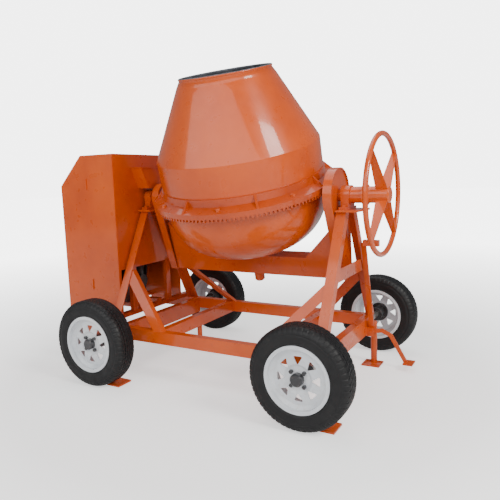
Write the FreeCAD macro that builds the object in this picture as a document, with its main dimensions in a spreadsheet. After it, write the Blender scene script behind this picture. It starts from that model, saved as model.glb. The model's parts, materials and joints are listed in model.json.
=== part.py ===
"""Towable tilting-drum concrete mixer: millimetres, +X from the engine housing to the
handwheel, +Y to the rear, +Z up, origin on the ground midway between the four wheels."""
import FreeCAD, Part
import math
import os
import Sketcher

Vector = FreeCAD.Vector
Rotation = FreeCAD.Rotation
Placement = FreeCAD.Placement
X_AXIS = Vector(1, 0, 0)
Y_AXIS = Vector(0, 1, 0)
Z_AXIS = Vector(0, 0, 1)

doc = FreeCAD.newDocument("mixer")
sheet = doc.addObject("Spreadsheet::Sheet", "sizes")
nodes = []


# ---------------------------------------------------------------- sizes with expressions
class Size:
    """A length or angle that knows its value and the sheet expression that gives it."""

    def __init__(self, value, text):
        self.value = float(value)
        self.text = text

    def __add__(self, other):
        return Size(self.value + number(other), f"({self.text} + {text(other)})")

    def __radd__(self, other):
        return Size(number(other) + self.value, f"({text(other)} + {self.text})")

    def __sub__(self, other):
        return Size(self.value - number(other), f"({self.text} - {text(other)})")

    def __rsub__(self, other):
        return Size(number(other) - self.value, f"({text(other)} - {self.text})")

    def __mul__(self, other):
        return Size(self.value * number(other), f"({self.text} * {text(other)})")

    def __rmul__(self, other):
        return self * other

    def __truediv__(self, other):
        return Size(self.value / number(other), f"({self.text} / {text(other)})")

    def __neg__(self):
        return Size(-self.value, f"(0 - {self.text})")

    def __float__(self):
        return self.value

    def __int__(self):
        return int(self.value)


def number(thing):
    return thing.value if isinstance(thing, Size) else float(thing)


def text(thing):
    return thing.text if isinstance(thing, Size) else f"({float(thing):.6f})"


def size(alias, value):
    """Puts one driving dimension in the sheet and returns it."""
    row = len(sheet.getUsedCells()) + 1
    sheet.set(f"A{row}", str(value))
    sheet.setAlias(f"A{row}", alias)
    return Size(value, f"sizes.{alias}")


def bind(thing, name, value):
    """Sets one property of an object to a size, through its expression."""
    if isinstance(value, Size):
        thing.setExpression(name, value.text)
    elif "." not in name:
        setattr(thing, name, value)
    elif value:
        thing.setExpression(name, text(value))


# ---------------------------------------------------------------- driving dimensions
# wheels
tyre_diameter = size("tyre_diameter", 550)
tyre_width = size("tyre_width", 148)
rim_diameter = size("rim_diameter", 356)
rim_width = size("rim_width", 136)
rim_sheet = size("rim_sheet", 5)
disc_depth = size("disc_depth", 30)
well_depth = size("well_depth", 16)
bead_seat = size("bead_seat", 13)
tyre_wall = size("tyre_wall", 12)
window_count = size("window_count", 8)
window_inner = size("window_inner", 77)
window_outer = size("window_outer", 119)
window_share = size("window_share", 0.5)
hub_diameter = size("hub_diameter", 130)
hub_step = size("hub_step", 20)
centre_bore = size("centre_bore", 60)
cap_diameter = size("cap_diameter", 68)
cap_height = size("cap_height", 34)
axle_end_gap = size("axle_end_gap", 6)
lug_circle = size("lug_circle", 100)
lug_size = size("lug_size", 19)
axle_diameter = size("axle_diameter", 40)
wheelbase = size("wheelbase", 1420)
track = size("track", 1384)
# chassis
rail_top = size("rail_top", 320)
rail_height = size("rail_height", 80)
rail_width = size("rail_width", 50)
rail_wall = size("rail_wall", 5)
chassis_width = size("chassis_width", 962)
rail_overhang = size("rail_overhang", 480)
beam_height = size("beam_height", 112)
cross_place = size("cross_place", 390)
stub_length = size("stub_length", 90)
stub_diameter = size("stub_diameter", 34)
# trunnion frames
left_frame_place = size("left_frame_place", 757)
right_frame_place = size("right_frame_place", 715)
angle_leg = size("angle_leg", 60)
angle_wall = size("angle_wall", 6)
frame_top = size("frame_top", 1060)
foot_spread = size("foot_spread", 472)
head_spread = size("head_spread", 98)
crossbar_top = size("crossbar_top", 742)
crossbar_height = size("crossbar_height", 76)
brace_top = size("brace_top", 668)
brace_width = size("brace_width", 58)
brace_lip = size("brace_lip", 42)
plate_length = size("plate_length", 250)
left_plate_width = size("left_plate_width", 104)
right_plate_width = size("right_plate_width", 132)
plate_thickness = size("plate_thickness", 12)
plate_gap = size("plate_gap", 8)
# bearings and trunnions
trunnion_height = size("trunnion_height", 1155)
trunnion_diameter = size("trunnion_diameter", 70)
bearing_width = size("bearing_width", 46)
bearing_boss = size("bearing_boss", 4)
bearing_shift = size("bearing_shift", 7)
bearing_radius = size("bearing_radius", 58)
bearing_foot = size("bearing_foot", 190)
bearing_foot_thickness = size("bearing_foot_thickness", 16)
bolt_diameter = size("bolt_diameter", 16)
bolt_head = size("bolt_head", 24)
bolt_head_height = size("bolt_head_height", 10)
running_gap = size("running_gap", 0.05)
clear_gap = size("clear_gap", 0.3)
# yoke
tilt_angle = size("tilt_angle", 15.5)
arm_inner = size("arm_inner", 626)
arm_depth = size("arm_depth", 54)
arm_foot_half = size("arm_foot_half", 62)
arm_sheet = size("arm_sheet", 8)
left_head_radius = size("left_head_radius", 100)
right_head_radius = size("right_head_radius", 164)
yoke_beam_top = size("yoke_beam_top", 402)
yoke_beam_depth = size("yoke_beam_depth", 134)
yoke_beam_width = size("yoke_beam_width", 100)
gusset_run = size("gusset_run", 208)
gusset_rise = size("gusset_rise", 220)
spindle_diameter = size("spindle_diameter", 60)
spindle_nut = size("spindle_nut", 68)
spindle_tail = size("spindle_tail", 70)
nut_chamfer = size("nut_chamfer", 8)
collar_width = size("collar_width", 22)
trunnion_end = size("trunnion_end", 10)
# handwheel
sleeve_diameter = size("sleeve_diameter", 97)
flange_place = size("flange_place", 820)
flange_diameter = size("flange_diameter", 124)
flange_thickness = size("flange_thickness", 12)
wheel_place = size("wheel_place", 934)
wheel_radius = size("wheel_radius", 345)
wheel_tube = size("wheel_tube", 30)
spoke_hub_width = size("spoke_hub_width", 70)
spoke_rim_width = size("spoke_rim_width", 28)
spoke_thickness = size("spoke_thickness", 8)
boss_chamfer = size("boss_chamfer", 8)
# drum
drum_offset = size("drum_offset", 30)
drum_radius = size("drum_radius", 520)
drum_sheet = size("drum_sheet", 6)
bowl_joint = size("bowl_joint", 90)
bowl_depth = size("bowl_depth", 372)
cone_start = size("cone_start", 327)
mouth_height = size("mouth_height", 783)
mouth_radius = size("mouth_radius", 285)
mouth_bead = size("mouth_bead", 16)
drum_hub_diameter = size("drum_hub_diameter", 150)
drum_hub_height = size("drum_hub_height", 86)
drum_hub_cap = size("drum_hub_cap", 12)
hub_skirt = size("hub_skirt", 4)
blade_reach = size("blade_reach", 210)
blade_thickness = size("blade_thickness", 8)
blade_slant = size("blade_slant", 24)
blade_top = size("blade_top", 230)
# ring gear and drive
gear_module = size("gear_module", 8)
ring_teeth = size("ring_teeth", 144)
pinion_teeth = size("pinion_teeth", 10)
ring_outer = size("ring_outer", 592)
tooth_width = size("tooth_width", 30)
ring_rim_height = size("ring_rim_height", 30)
ring_collar = size("ring_collar", 146)
ring_sheet = size("ring_sheet", 12)
shaft_diameter = size("shaft_diameter", 40)
rib_count = size("rib_count", 8)
rib_thickness = size("rib_thickness", 14)
rib_turn = size("rib_turn", -9)
pulley_diameter = size("pulley_diameter", 380)
engine_pulley_diameter = size("engine_pulley_diameter", 96)
pulley_width = size("pulley_width", 52)
pulley_place = size("pulley_place", 90)
pulley_boss = size("pulley_boss", 24)
pulley_web = size("pulley_web", 12)
groove_lip = size("groove_lip", 6)
belt_thickness = size("belt_thickness", 10)
belt_width = size("belt_width", 26)
shaft_tail = size("shaft_tail", 160)
# engine
engine_place = size("engine_place", 165)
engine_length = size("engine_length", 250)
engine_width = size("engine_width", 230)
engine_height = size("engine_height", 330)
crank_height = size("crank_height", 150)
crank_diameter = size("crank_diameter", 30)
crank_depth = size("crank_depth", 60)
fin_count = size("fin_count", 7)
fin_thickness = size("fin_thickness", 8)
tank_height = size("tank_height", 110)
bearer_inset = size("bearer_inset", 70)
bed_overhang = size("bed_overhang", 100)
# housing
housing_right = size("housing_right", 800)
housing_length = size("housing_length", 510)
housing_width = size("housing_width", 684)
housing_top = size("housing_top", 1464)
housing_sheet = size("housing_sheet", 3)
housing_corner = size("housing_corner", 208)
housing_seam = size("housing_seam", 255)
window_top = size("window_top", 668)
bearer_height = size("bearer_height", 30)
bearer_width = size("bearer_width", 50)
post_place = size("post_place", 193)
door_lap = size("door_lap", 18)
hinge_barrel = size("hinge_barrel", 12)
guard_reach = size("guard_reach", 96)
guard_lip = size("guard_lip", 8)
guard_top = size("guard_top", 1366)
guard_bottom = size("guard_bottom", 1224)
guard_top_half = size("guard_top_half", 168)
guard_bottom_half = size("guard_bottom_half", 98)
# brake lever, pedal and support leg
lever_place = size("lever_place", 345)
lever_width = size("lever_width", 32)
lever_thickness = size("lever_thickness", 14)
lever_pivot_height = size("lever_pivot_height", 232)
lever_top_height = size("lever_top_height", 850)
lever_top_place = size("lever_top_place", 168)
lever_stand = size("lever_stand", 30)
eye_wall = size("eye_wall", 6)
bracket_height = size("bracket_height", 60)
brake_pad = size("brake_pad", 38)
brake_travel = size("brake_travel", 56)
pedal_reach = size("pedal_reach", 228)
arch_rise = size("arch_rise", 14)
tread_height = size("tread_height", 44)
tread_length = size("tread_length", 96)
tread_width = size("tread_width", 62)
pivot_diameter = size("pivot_diameter", 16)
leg_diameter = size("leg_diameter", 42)
leg_gap = size("leg_gap", 8)
leg_spacing = size("leg_spacing", 55)
foot_length = size("foot_length", 120)
foot_thickness = size("foot_thickness", 8)
chock_height = size("chock_height", 10)
chock_length = size("chock_length", 98)
chock_width = size("chock_width", 116)
doc.recompute()

# ---------------------------------------------------------------- shared places
axle_height = tyre_diameter / 2
beam_width = axle_diameter + rail_wall * 2 + clear_gap * 2
rail_outer = chassis_width / 2
rail_inner = rail_outer - rail_width
rail_bottom = rail_top - rail_height
rail_left_end = -wheelbase / 2 - rail_overhang
beam_inner_face = wheelbase / 2 - beam_width / 2
arm_outer = arm_inner + arm_depth
frame_places = {-1: left_frame_place, 1: right_frame_place}
head_radii = {-1: left_head_radius, 1: right_head_radius}
plate_widths = {-1: left_plate_width, 1: right_plate_width}
housing_bottom = rail_top + bearer_height
head_plate_top = frame_top + plate_thickness
tilt = Rotation(X_AXIS, tilt_angle.value)
trunnion_point = Vector(0, 0, trunnion_height.value)
drum_point = Vector(drum_offset.value, 0, trunnion_height.value)
arm_outer = arm_inner + arm_depth
arm_web_outer = arm_outer - arm_sheet
pinion_radius = gear_module * pinion_teeth / 2
tooth_inner = ring_outer - tooth_width
ring_root = pinion_radius + gear_module * 1.2


# ---------------------------------------------------------------- small makers
def node(thing, label):
    """Names a finished sub-part."""
    thing.Label = label
    nodes.append(thing)
    return thing


def place(thing, x=0, y=0, z=0, rotation=None):
    """Puts an object at a point given by sizes, turned first if asked."""
    if rotation is not None:
        thing.Placement = Placement(Vector(0, 0, 0), rotation)
    for axis, value in (("x", x), ("y", y), ("z", z)):
        bind(thing, f"Placement.Base.{axis}", value)
    return thing


def box(x, y, z, length, width, height):
    """A box from its low corner and its extents along X, Y and Z."""
    thing = doc.addObject("Part::Box", "box")
    bind(thing, "Length", length)
    bind(thing, "Width", width)
    bind(thing, "Height", height)
    return place(thing, x, y, z)


def rod(x, y, z, diameter, length, rotation=None):
    """A cylinder from the centre of its first end, along the turned Z axis."""
    thing = doc.addObject("Part::Cylinder", "rod")
    bind(thing, "Radius", diameter / 2)
    bind(thing, "Height", length)
    return place(thing, x, y, z, rotation)


def cut(base, *tools):
    """The base with each tool taken away."""
    for tool in tools:
        thing = doc.addObject("Part::Cut", "cut")
        thing.Base = base
        thing.Tool = tool
        base = thing
    return base


def fuse(*things):
    """Several touching objects made one."""
    thing = doc.addObject("Part::MultiFuse", "fuse")
    thing.Shapes = list(things)
    thing.Refine = True
    return thing


def group(*things):
    """Separate solids kept in one object."""
    thing = doc.addObject("Part::Compound", "group")
    thing.Links = list(things)
    return thing


def hexagon(x, y, z, across_flats, height):
    """A bolt head or nut, from its size across flats."""
    thing = doc.addObject("Part::Prism", "hexagon")
    thing.Polygon = 6
    bind(thing, "Circumradius", across_flats / math.sqrt(3))
    bind(thing, "Height", height)
    return place(thing, x, y, z)


def mirror(thing, normal):
    """A mirrored copy across the plane through the origin."""
    copy = doc.addObject("Part::Mirroring", "mirror")
    copy.Source = thing
    copy.Normal = normal
    return copy


def shaped(shape, placement=None):
    """An object whose shape is worked out from the sheet by this script."""
    thing = doc.addObject("Part::Feature", "shaped")
    thing.Shape = shape
    if placement is not None:
        thing.Placement = placement
    return thing


def new_body():
    return doc.addObject("PartDesign::Body", "body")


def new_sketch(body, role):
    """A sketch on one of the body's own origin planes."""
    sketch = body.newObject("Sketcher::SketchObject", "sketch")
    plane = [item for item in body.Origin.OriginFeatures if item.Role == role][0]
    sketch.AttachmentSupport = (plane, [""])
    sketch.MapMode = "FlatFace"
    return sketch


def outline(sketch, points):
    """Draws a closed polygon whose corners are held by expressions."""
    first = sketch.GeometryCount
    count = len(points)
    for index in range(count):
        start = points[index]
        end = points[(index + 1) % count]
        line = Part.LineSegment(Vector(number(start[0]), number(start[1]), 0),
                                Vector(number(end[0]), number(end[1]), 0))
        sketch.addGeometry(line, False)
    for index in range(count):
        after = first + (index + 1) % count
        sketch.addConstraint(Sketcher.Constraint("Coincident", first + index, 2, after, 1))
    for index, point in enumerate(points):
        for kind, value in (("DistanceX", point[0]), ("DistanceY", point[1])):
            held = Sketcher.Constraint(kind, -1, 1, first + index, 1, number(value))
            place_in_list = sketch.addConstraint(held)
            if isinstance(value, Size):
                sketch.setExpression(f"Constraints[{place_in_list}]", value.text)
    return sketch


def circle(sketch, x, y, diameter):
    """Draws a circle held by expressions."""
    index = sketch.addGeometry(Part.Circle(Vector(number(x), number(y), 0), Z_AXIS, number(diameter) / 2))
    for kind, value in (("DistanceX", x), ("DistanceY", y)):
        held = sketch.addConstraint(Sketcher.Constraint(kind, -1, 1, index, 3, number(value)))
        if isinstance(value, Size):
            sketch.setExpression(f"Constraints[{held}]", value.text)
    held = sketch.addConstraint(Sketcher.Constraint("Diameter", index, number(diameter)))
    sketch.setExpression(f"Constraints[{held}]", text(diameter))
    return sketch


def pad(body, sketch, length, both_ways=False):
    thing = body.newObject("PartDesign::Pad", "pad")
    thing.Profile = sketch
    bind(thing, "Length", length)
    thing.Midplane = both_ways
    doc.recompute()
    return thing


def pocket(body, sketch, length, both_ways=False, reverse=False):
    """Cuts a sketch into the body and checks that it took something away."""
    before = body.Shape.Volume
    thing = body.newObject("PartDesign::Pocket", "pocket")
    thing.Profile = sketch
    bind(thing, "Length", length)
    thing.Midplane = both_ways
    thing.Reversed = reverse
    doc.recompute()
    if body.Shape.Volume >= before:
        raise RuntimeError(f"{body.Label}: a pocket cut nothing")
    return thing


def revolve(body, sketch):
    thing = body.newObject("PartDesign::Revolution", "revolve")
    thing.Profile = sketch
    thing.ReferenceAxis = (sketch, ["V_Axis"])
    thing.Angle = 360
    doc.recompute()
    return thing


def polar(body, feature, count):
    """Repeats a feature round the body's Z axis."""
    thing = body.newObject("PartDesign::PolarPattern", "pattern")
    thing.Originals = [feature]
    axis = [item for item in body.Origin.OriginFeatures if item.Role == "Z_Axis"][0]
    thing.Axis = (axis, [""])
    thing.Angle = 360
    bind(thing, "Occurrences", count)
    body.Tip = thing
    doc.recompute()
    return thing


def turned(points):
    """A body made by turning a polygon of (radius, height) points about its Z axis."""
    body = new_body()
    revolve(body, outline(new_sketch(body, "XZ_Plane"), points))
    return body


# ---------------------------------------------------------------- chassis
def tube_along_x(x, y, z, length, width, height, wall):
    outer = box(x, y, z, length, width, height)
    inner = box(x, y + wall, z + wall, length, width - wall * 2, height - wall * 2)
    return cut(outer, inner)


def make_rails():
    """Two box-section rails, bored for the axles, closed on the right by the axle beam."""
    length = wheelbase + rail_overhang - beam_width / 2
    for side, name in ((-1, "front_rail"), (1, "rear_rail")):
        y = -rail_outer if side < 0 else rail_inner
        tube = tube_along_x(rail_left_end, y, rail_bottom, length, rail_width, rail_height, rail_wall)
        bore = rod(-wheelbase / 2, y - 1, axle_height, axle_diameter + running_gap * 2, rail_width + 2,
                   Rotation(X_AXIS, -90))
        node(cut(tube, bore), name)


def make_axle_beams():
    """Deep box beams across both ends; a round axle runs inside each from wheel to wheel."""
    bottom = rail_top - beam_height
    for side, name in ((-1, "left_axle_beam"), (1, "right_axle_beam")):
        half = rail_inner if side < 0 else rail_outer
        x = side * wheelbase / 2 - beam_width / 2
        outer = box(x, -half, bottom, beam_width, half * 2, beam_height)
        inner = box(x + rail_wall, -half, bottom + rail_wall,
                    beam_width - rail_wall * 2, half * 2, beam_height - rail_wall * 2)
        node(cut(outer, inner), name)
    shafts = []
    reach = track / 2 + disc_face() + cap_height - axle_end_gap * 2
    for side in (-1, 1):
        shafts.append(rod(side * wheelbase / 2, -reach, axle_height, axle_diameter, reach * 2,
                          Rotation(X_AXIS, -90)))
    node(group(*shafts), "axle_shafts")


def make_cross_members():
    """Two members between the rails; the left one has a short stub pipe under its middle."""
    for side, name in ((-1, "left_cross_member"), (1, "right_cross_member")):
        x = side * cross_place - rail_width / 2
        outer = box(x, -rail_inner, rail_bottom, rail_width, rail_inner * 2, rail_height)
        inner = box(x + rail_wall, -rail_inner, rail_bottom + rail_wall,
                    rail_width - rail_wall * 2, rail_inner * 2, rail_height - rail_wall * 2)
        member = cut(outer, inner)
        if side < 0:
            stub = rod(-cross_place, 0, rail_bottom - stub_length, stub_diameter, stub_length)
            member = fuse(member, stub)
        node(member, name)


# ---------------------------------------------------------------- trunnion frames
def outer_face(side):
    """The outward X face of a trunnion frame."""
    return frame_places[side] + angle_leg / 2


def inner_face(side):
    return frame_places[side] - angle_leg / 2


def angle_profile(x_side, y_side):
    """An equal angle section, its corner at the origin and its legs pointing inwards."""
    leg = angle_leg
    wall = angle_wall
    corners = ((0, 0), (leg, 0), (leg, wall), (wall, wall), (wall, leg), (0, leg))
    return [(-x_side * a, -y_side * b) for a, b in corners]


def make_posts():
    """Angle-iron posts that lean to the head plate, cut level at both ends."""
    rise = frame_top - rail_top
    lean = (foot_spread - head_spread).value / rise.value
    for x_side, end in ((-1, "left"), (1, "right")):
        for y_side, side in ((-1, "front"), (1, "rear")):
            body = new_body()
            sketch = outline(new_sketch(body, "XY_Plane"), angle_profile(x_side, y_side))
            post = body.newObject("PartDesign::Pad", "pad")
            post.Profile = sketch
            bind(post, "Length", rise)
            post.UseCustomVector = True
            post.Direction = Vector(0, -y_side * lean, 1)
            post.AlongSketchNormal = True
            place(body, x_side * outer_face(x_side), y_side * foot_spread, rail_top)
            node(body, f"{end}_{side}_post")


def post_line(height):
    """How far from the middle plane the outer corner of a post is at a height in millimetres."""
    share = (height - rail_top.value) / (frame_top - rail_top).value
    return foot_spread.value - share * (foot_spread - head_spread).value


def filled(points):
    """A flat face inside a closed polygon."""
    return Part.Face(Part.makePolygon(list(points) + [points[0]]))


def make_crossbar():
    """An angle bar between the two right-hand posts, its ends against their inner faces."""
    wall = angle_wall.value
    x = outer_face(1).value - wall
    top = crossbar_top.value
    low = top - crossbar_height.value
    half_top = post_line(top) - wall
    half_low = post_line(low) - wall
    web = filled([Vector(x - wall, -half_low, low), Vector(x - wall, half_low, low),
                  Vector(x - wall, half_top, top), Vector(x - wall, -half_top, top)])
    shelf_depth = angle_leg.value - wall * 2
    half_shelf = post_line(low + wall) - wall
    shelf = Part.makeBox(shelf_depth, half_shelf * 2, wall, Vector(x - shelf_depth, -half_shelf, low))
    node(shaped(web.extrude(Vector(wall, 0, 0)).fuse(shelf).removeSplitter()), "right_crossbar")


def make_brace(x_side, y_side):
    """An angle-iron brace in the leaning plane of the posts, from a post down to the rail."""
    wall = angle_wall.value
    rise = (brace_top - rail_top).value
    lean = (post_line(rail_top.value) - post_line(brace_top.value)) / rise
    post_face = inner_face(x_side).value
    foot = cross_place.value
    slope = math.atan2(rise, post_face - foot)
    half = brace_width.value / math.sin(slope) / 2
    drop = brace_width.value / math.cos(slope)

    def point(x, z, inset):
        y = post_line(rail_top.value) - z * lean - inset
        return Vector(x_side * x, y_side * y, rail_top.value + z)

    corners = ((foot - half, 0), (foot + half, 0), (post_face, rise - drop), (post_face, rise))
    plate = filled([point(x, z, wall) for x, z in corners]).extrude(Vector(0, -y_side * wall, 0))
    lip_depth = brace_lip.value
    edge = [point(foot - half, 0, wall), point(post_face, rise, wall),
            point(post_face, rise, lip_depth), point(foot - half, 0, lip_depth)]
    lip = filled(edge).extrude(Vector(x_side * wall / math.sin(slope), 0, 0))
    beyond = Part.makeBox(100, 2000, 2000, Vector(post_face if x_side > 0 else -post_face - 100, -1000, 0))
    return plate.fuse(lip).cut(beyond).removeSplitter()


def make_braces():
    """Angle braces, two at each end, welded between post and rail."""
    for x_side, name in ((-1, "left_braces"), (1, "right_braces")):
        pair = [shaped(make_brace(x_side, y_side)) for y_side in (-1, 1)]
        node(group(*pair), name)


def make_head_plates():
    for side, name in ((-1, "left_head_plate"), (1, "right_head_plate")):
        width = plate_widths[side]
        near = arm_outer + plate_gap
        x = near if side > 0 else -near - width
        plate = box(x, -plate_length / 2, frame_top, width, plate_length, plate_thickness)
        holes = [rod(x_hole, y_hole, frame_top - 1, bolt_diameter + 1, plate_thickness + 2)
                 for x_hole, y_hole in bearing_bolt_places(side)]
        node(cut(plate, *holes), name)


# ---------------------------------------------------------------- bearings
def bearing_x(side):
    return side * frame_places[side] + bearing_shift * (1 if side > 0 else 0)


def bearing_bolt_places(side):
    reach = bearing_foot / 2 - bolt_head * 0.8
    return [(bearing_x(side), -reach), (bearing_x(side), reach)]


def make_bearings():
    """Plummer blocks: a round-topped body on a foot with two bolts."""
    for side, name in ((-1, "left_bearing"), (1, "right_bearing")):
        body = new_body()
        low = head_plate_top - trunnion_height
        shoulder = low + bearing_foot_thickness
        foot = bearing_foot / 2
        outline(new_sketch(body, "YZ_Plane"),
                [(-foot, low), (foot, low), (foot, shoulder), (bearing_radius, shoulder), (bearing_radius, 0),
                 (-bearing_radius, 0), (-bearing_radius, shoulder), (-foot, shoulder)])
        pad(body, body.Group[-1], bearing_width, both_ways=True)
        pad(body, circle(new_sketch(body, "YZ_Plane"), 0, 0, bearing_radius * 2), bearing_width + bearing_boss * 2,
            both_ways=True)
        bore = circle(new_sketch(body, "YZ_Plane"), 0, 0, trunnion_diameter + running_gap * 2)
        pocket(body, bore, bearing_width * 2, both_ways=True)
        place(body, bearing_x(side), 0, trunnion_height)
        holes = [rod(x, y, head_plate_top - 1, bolt_diameter + 1, bearing_foot_thickness + 2)
                 for x, y in bearing_bolt_places(side)]
        node(cut(body, *holes), name)


def make_bearing_bolts():
    """A bolt with its nut through each end of both bearing feet."""
    bolts = []
    head_low = head_plate_top + bearing_foot_thickness
    nut_low = frame_top - bolt_head_height
    for side in (-1, 1):
        for x, y in bearing_bolt_places(side):
            shank = rod(x, y, nut_low, bolt_diameter, head_low - nut_low + bolt_head_height)
            ends = [hexagon(x, y, z, bolt_head, bolt_head_height) for z in (head_low, nut_low)]
            bolts.append(fuse(shank, *ends))
    node(group(*bolts), "bearing_bolts")


# ---------------------------------------------------------------- yoke
def tangent_points(radius, half, depth):
    """Where lines from the foot corners (+-half, -depth) touch a circle at the origin."""
    reach = math.hypot(half, depth)
    turn = math.atan2(-depth, half) + math.acos(radius / reach)
    return radius * math.cos(turn), radius * math.sin(turn)


def arm_outline(body, head_radius, inset):
    """A round head, straight tapering sides and a level foot, all held by sizes."""
    sketch = new_sketch(body, "YZ_Plane")
    radius = head_radius - inset
    half = arm_foot_half - inset
    depth = yoke_beam_top + yoke_beam_depth - inset
    touch_y, touch_z = tangent_points(radius.value, half.value, depth.value)
    start = math.atan2(touch_z, touch_y)
    arc = Part.ArcOfCircle(Part.Circle(Vector(0, 0, 0), Z_AXIS, radius.value), start, math.pi - start)
    low_right = Vector(half.value, -depth.value, 0)
    low_left = Vector(-half.value, -depth.value, 0)
    left = Part.LineSegment(Vector(-touch_y, touch_z, 0), low_left)
    foot = Part.LineSegment(low_left, low_right)
    right = Part.LineSegment(low_right, Vector(touch_y, touch_z, 0))
    for curve in (arc, left, foot, right):
        sketch.addGeometry(curve, False)
    sketch.addConstraint(Sketcher.Constraint("Tangent", 0, 2, 1, 1))
    sketch.addConstraint(Sketcher.Constraint("Coincident", 1, 2, 2, 1))
    sketch.addConstraint(Sketcher.Constraint("Coincident", 2, 2, 3, 1))
    sketch.addConstraint(Sketcher.Constraint("Tangent", 3, 2, 0, 1))
    sketch.addConstraint(Sketcher.Constraint("Coincident", 0, 3, -1, 1))
    held = sketch.addConstraint(Sketcher.Constraint("Radius", 0, radius.value))
    sketch.setExpression(f"Constraints[{held}]", radius.text)
    for kind, corner, value in (("DistanceX", 1, -half), ("DistanceX", 2, half), ("DistanceY", 1, -depth)):
        held = sketch.addConstraint(Sketcher.Constraint(kind, -1, 1, corner, 2, value.value))
        sketch.setExpression(f"Constraints[{held}]", value.text)
    sketch.addConstraint(Sketcher.Constraint("Horizontal", 2))
    return sketch


def make_arms():
    """Pressed arms: a flange band round the edge and a web set back from the outer face."""
    for side, name in ((-1, "left_arm"), (1, "right_arm")):
        radius = head_radii[side]
        shell = new_body()
        pad(shell, arm_outline(shell, radius, 0), arm_depth)
        pocket(shell, arm_outline(shell, radius, arm_sheet), arm_depth - arm_sheet * 2, reverse=True)
        recess = new_body()
        pad(recess, arm_outline(recess, radius, arm_sheet), arm_sheet)
        place(recess, arm_depth - arm_sheet)
        bore = rod(-1, 0, 0, trunnion_diameter + running_gap * 2, arm_depth + 2, Rotation(Y_AXIS, 90))
        arm = cut(shell, recess, bore)
        source = arm if side > 0 else mirror(arm, X_AXIS)
        node(place(group(source), side * arm_inner, 0, trunnion_height, tilt), name)


def make_yoke_beam():
    """A fabricated box beam with raised gusset corners, open at the arms."""
    low = -yoke_beam_top - yoke_beam_depth
    top = -yoke_beam_top
    end = arm_inner
    inner = end - gusset_run
    sheet_gap = arm_sheet
    body = new_body()
    outer = [(-end, low), (end, low), (end, top + gusset_rise), (inner, top), (-inner, top), (-end, top + gusset_rise)]
    pad(body, outline(new_sketch(body, "XZ_Plane"), outer), yoke_beam_width, both_ways=True)
    slack = sheet_gap * 1.45
    hollow = [(-end, low + sheet_gap), (end, low + sheet_gap), (end, top + gusset_rise - slack),
              (inner + sheet_gap * 0.42, top - sheet_gap), (-inner - sheet_gap * 0.42, top - sheet_gap),
              (-end, top + gusset_rise - slack)]
    pocket(body, outline(new_sketch(body, "XZ_Plane"), hollow), yoke_beam_width - sheet_gap * 2, both_ways=True)
    bore = rod(drum_offset, 0, low - 1, spindle_diameter, yoke_beam_depth + 2)
    beam = doc.addObject("Part::Compound", "beam")
    beam.Links = [cut(body, bore)]
    node(place(beam, 0, 0, trunnion_height, tilt), "yoke_beam")


def make_spindle():
    """The post that the drum turns on: a nut below the beam, a shaft through it, a thrust collar."""
    low = -yoke_beam_top - yoke_beam_depth
    top = -yoke_beam_top
    collar_top = -bowl_depth - hub_skirt - clear_gap
    shaft_top = -bowl_depth + drum_hub_height - drum_hub_cap - clear_gap
    shaft = spindle_diameter / 2
    nut = spindle_nut / 2
    collar = shaft + collar_width
    tail = low - spindle_tail
    points = [(0, tail), (nut - nut_chamfer, tail), (nut, tail + nut_chamfer), (nut, low), (shaft, low), (shaft, top),
              (collar, top), (collar, collar_top), (shaft, collar_top), (shaft, shaft_top), (0, shaft_top)]
    node(place(turned(points), drum_offset, 0, trunnion_height, tilt), "drum_spindle")


def make_trunnions():
    """The left trunnion is a tube for the drive shaft; the right one carries the handwheel."""
    half = trunnion_diameter / 2
    bore = shaft_diameter / 2 + running_gap
    start = arm_inner + arm_sheet
    left_end = left_frame_place + bearing_width / 2 + trunnion_end
    left = turned([(bore, start), (half, start), (half, left_end), (bore, left_end)])
    node(place(left, 0, 0, trunnion_height, Rotation(Y_AXIS, -90)), "left_trunnion")
    sleeve = sleeve_diameter / 2
    sleeve_start = right_frame_place + bearing_shift + bearing_width / 2 + bearing_boss + clear_gap
    edge = flange_diameter / 2
    flange_end = flange_place + flange_thickness
    right = turned([(0, start), (half, start), (half, sleeve_start), (sleeve, sleeve_start), (sleeve, flange_place),
                    (edge, flange_place), (edge, flange_end), (0, flange_end)])
    node(place(right, 0, 0, trunnion_height, Rotation(Y_AXIS, 90)), "right_trunnion")


def wheel_ring():
    """The handwheel's tube ring."""
    ring = doc.addObject("Part::Torus", "ring")
    bind(ring, "Radius1", wheel_radius)
    bind(ring, "Radius2", wheel_tube / 2)
    return place(ring, wheel_place, 0, trunnion_height, Rotation(Y_AXIS, 90))


def make_handwheel():
    """A tube rim, four tapering flat spokes on edge and a flanged boss, turned with the yoke."""
    start = flange_place + flange_thickness
    boss = sleeve_diameter / 2
    edge = flange_diameter / 2
    end = wheel_place + spoke_hub_width / 2
    hub = turned([(0, start), (edge, start), (edge, start + flange_thickness), (boss, start + flange_thickness),
                  (boss, end), (boss - boss_chamfer, end + boss_chamfer), (0, end + boss_chamfer)])
    node(place(hub, 0, 0, trunnion_height, Rotation(Y_AXIS, 90)), "handwheel_hub")
    node(wheel_ring(), "handwheel_rim")
    spokes = []
    inner = boss - spoke_thickness
    for step in range(4):
        body = new_body()
        corners = [(-spoke_hub_width / 2, inner), (spoke_hub_width / 2, inner),
                   (spoke_rim_width / 2, wheel_radius), (-spoke_rim_width / 2, wheel_radius)]
        pad(body, outline(new_sketch(body, "XZ_Plane"), corners), spoke_thickness, both_ways=True)
        spokes.append(place(body, wheel_place, 0, trunnion_height, Rotation(X_AXIS, 45 + 90 * step)))
    barrel = rod(start, 0, trunnion_height, boss * 2, spoke_hub_width * 3, Rotation(Y_AXIS, 90))
    node(cut(group(*spokes), barrel, wheel_ring()), "handwheel_spokes")


# ---------------------------------------------------------------- drum
def in_drum(thing):
    return place(thing, drum_offset, 0, trunnion_height, tilt)


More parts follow.
